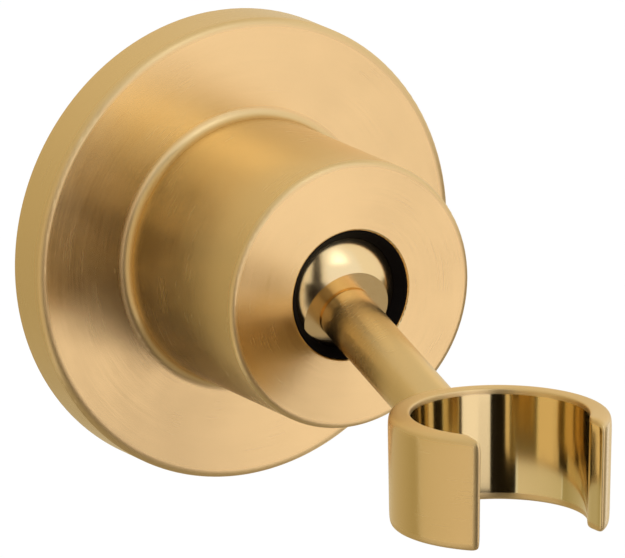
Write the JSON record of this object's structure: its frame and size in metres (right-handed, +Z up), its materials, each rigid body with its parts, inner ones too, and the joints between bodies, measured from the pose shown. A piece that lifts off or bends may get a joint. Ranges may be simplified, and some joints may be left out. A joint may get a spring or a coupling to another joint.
{
  "type": "hand shower holder",
  "caption": "Wall-mounted hand shower holder: round flange and barrel in satin gold brass, a ball joint, a stem and an open tapered clip that holds the hand shower.",
  "frame": {"origin": "centre of the wall plate's back face, on the wall and on the barrel's axis", "axes": "+Y into the wall along the barrel's axis, +Z up, so the holder stands out along -Y"},
  "size_m": [0.067, 0.0918, 0.067],
  "materials": {
    "satin_brass": "brushed satin",
    "polished_brass": "polished",
    "plain_brass": "turned",
    "black_plastic": "moulded acetal",
    "steel": "stainless"
  },
  "bodies": {
    "housing": {"body": "satin_brass", "wall_plate": "steel", "grub_screw": "steel", "front_seat": "black_plastic", "front_disc_spring": "steel", "rear_disc_spring": "steel", "thrust_washer": "steel", "retainer": "plain_brass"},
    "cup": {"rear_seat": "black_plastic"},
    "ball": {"swivel_ball": "polished_brass"},
    "arm": {"stem": "satin_brass", "clip": "satin_brass"}
  },
  "joints": [
    {"name": "arm_turn", "type": "hinge", "parent": "housing", "child": "cup", "pos_m": [0, -0.0278, 0], "axis": [0, -1, 0], "continuous": true},
    {"name": "arm_tilt", "type": "hinge", "parent": "cup", "child": "ball", "pos_m": [0, -0.0278, 0], "axis": [0.9987, 0, -0.0518], "range_deg": [-41, 3.9]},
    {"name": "clip_spin", "type": "hinge", "parent": "ball", "child": "arm", "pos_m": [0, -0.0278, 0], "axis": [-0.0165, -0.9476, -0.319], "continuous": true}
  ]
}
